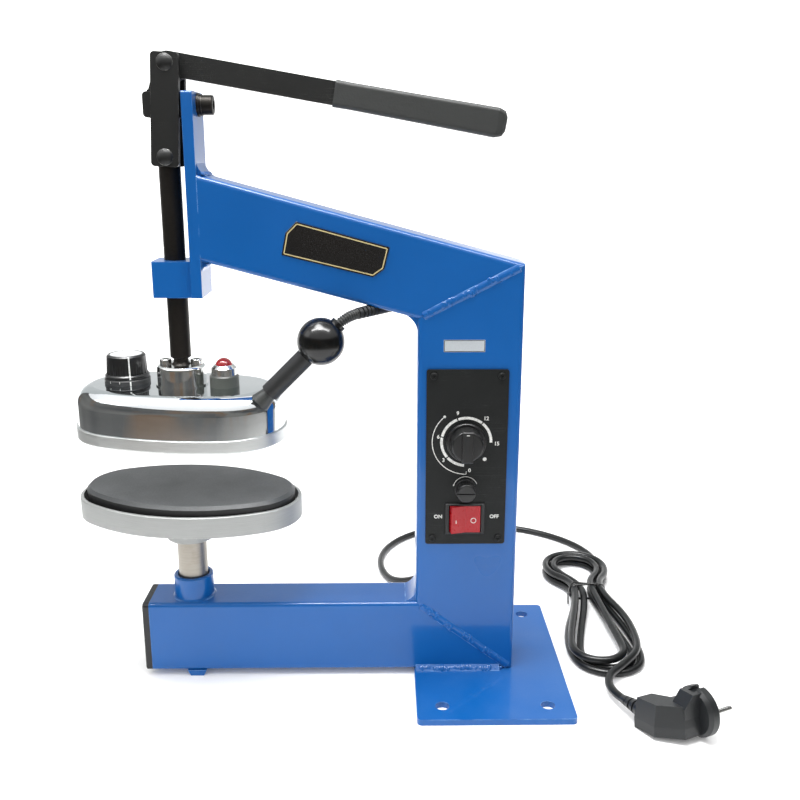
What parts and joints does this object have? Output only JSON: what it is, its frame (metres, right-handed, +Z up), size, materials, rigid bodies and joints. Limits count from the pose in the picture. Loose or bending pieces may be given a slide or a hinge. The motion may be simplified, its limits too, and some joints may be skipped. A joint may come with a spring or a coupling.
{
  "type": "tire vulcanizing machine",
  "caption": "Bench tyre-patch vulcanizing press: blue welded C-frame, hand lever toggle, chrome heated oval head with thermostat and lamp, cast platen with rubber pad, timer panel",
  "frame": {"origin": "Centre of the base plate's four bolt holes, on its underside", "axes": "+X to the right of the operator's view, away from the press head; +Y away from the operator; +Z up"},
  "size_m": [0.5033, 0.416, 0.4889],
  "materials": {
    "blue_paint": "glossy royal blue paint over welded steel",
    "black_paint": "satin black painted steel",
    "chrome_plate": "bright chrome plating",
    "cast_alloy": "fine-machined cast aluminium",
    "bare_steel": "bare turned steel",
    "dark_rubber": "matt moulded rubber",
    "black_plastic": "matt moulded black plastic",
    "black_gloss": "glossy black phenolic",
    "panel_black": "satin black painted panel with white print",
    "red_plastic": "glossy red plastic",
    "lens_red": "translucent red lens",
    "cord_sheath": "smooth black cord sheath",
    "black_steel": "blackened steel"
  },
  "bodies": {
    "frame": {"base_plate": "blue_paint", "column": "blue_paint", "lower_arm": "blue_paint", "upper_arm": "blue_paint", "arm_end_cap": "black_plastic", "support_foot": "blue_paint", "head_post": "blue_paint", "guide_block": "blue_paint", "post_sleeve": "blue_paint", "pivot_block": "black_paint", "pivot_washers": "black_steel", "pivot_screw": "black_steel", "fulcrum_pin": "bare_steel", "conduit_relief": "black_plastic", "flex_conduit": "black_plastic", "control_panel": "panel_black", "panel_screws": "black_steel", "timer_body": "black_plastic", "fuse_holder": "black_plastic", "switch_housing": "black_plastic", "cord_gland": "black_plastic", "power_cord": "cord_sheath", "cord_hank": "cord_sheath", "cord_tie": "black_plastic", "plug_boot": "black_plastic", "plug_body": "black_plastic", "plug_pins": "chrome_plate"},
    "lever": {"lever_bar": "black_paint", "lever_grip": "black_plastic"},
    "links": {"link_front": "black_paint", "link_rear": "black_paint", "link_pin": "black_paint", "link_spacers": "bare_steel", "link_rivets": "black_paint"},
    "ram": {"plunger_rod": "black_paint", "plunger_pin": "bare_steel", "head_hub": "chrome_plate", "hub_screws": "black_steel", "pressure_block": "cast_alloy", "head_cover": "chrome_plate", "heating_plate": "cast_alloy", "heating_element": "bare_steel", "thermostat_body": "black_plastic", "lamp_base": "black_plastic", "lamp_bezel": "chrome_plate", "lamp_lens": "lens_red", "handle_cone": "bare_steel", "handle_stem": "black_gloss", "ball_knob": "black_gloss"},
    "thermostat": {"thermostat_knob": "black_gloss"},
    "platen": {"platen_post": "bare_steel", "platen_dish": "cast_alloy", "rubber_pad": "dark_rubber"},
    "timer": {"timer_knob": "black_gloss"},
    "fuse": {"fuse_cap": "black_gloss"},
    "rocker": {"switch_rocker": "red_plastic"}
  },
  "joints": [
    {"name": "lever_swing", "type": "hinge", "parent": "frame", "child": "lever", "pos_m": [-0.2475, 0, 0.45551], "axis": [0, -1, 0], "range_deg": [0, 157]},
    {"name": "link_swing", "type": "hinge", "parent": "lever", "child": "links", "pos_m": [-0.2395, 0, 0.48051], "axis": [0, 1, 0], "range_deg": [0, 134.51]},
    {"name": "ram_slide", "type": "slide", "parent": "frame", "child": "ram", "axis": [0, 0, -1], "range_m": [0, 0.04128], "deforming": ["flex_conduit"]},
    {"name": "thermostat_turn", "type": "hinge", "parent": "ram", "child": "thermostat", "pos_m": [-0.2877, 0.0083, 0.244], "axis": [0, 0, -1], "range_deg": [0, 270]},
    {"name": "platen_turn", "type": "hinge", "parent": "frame", "child": "platen", "pos_m": [-0.243, 0, 0.084], "axis": [0, 0, 1], "continuous": true},
    {"name": "timer_turn", "type": "hinge", "parent": "frame", "child": "timer", "pos_m": [-0.0219, -0.0215, 0.2023], "axis": [0, 1, 0], "range_deg": [0, 270]},
    {"name": "fuse_cap_turn", "type": "hinge", "parent": "frame", "child": "fuse", "pos_m": [-0.0219, -0.0215, 0.1635], "axis": [0, -1, 0], "range_deg": [0, 90]},
    {"name": "switch_rock", "type": "hinge", "parent": "frame", "child": "rocker", "pos_m": [-0.0219, -0.0205, 0.139], "axis": [0, 0, -1], "range_deg": [0, 16]}
  ],
  "couplings": [
    {"joint": "link_swing", "follows": "lever_swing", "ratio": 0.85675},
    {"joint": "ram_slide", "follows": "lever_swing", "m_per_rad": 0.015066}
  ]
}
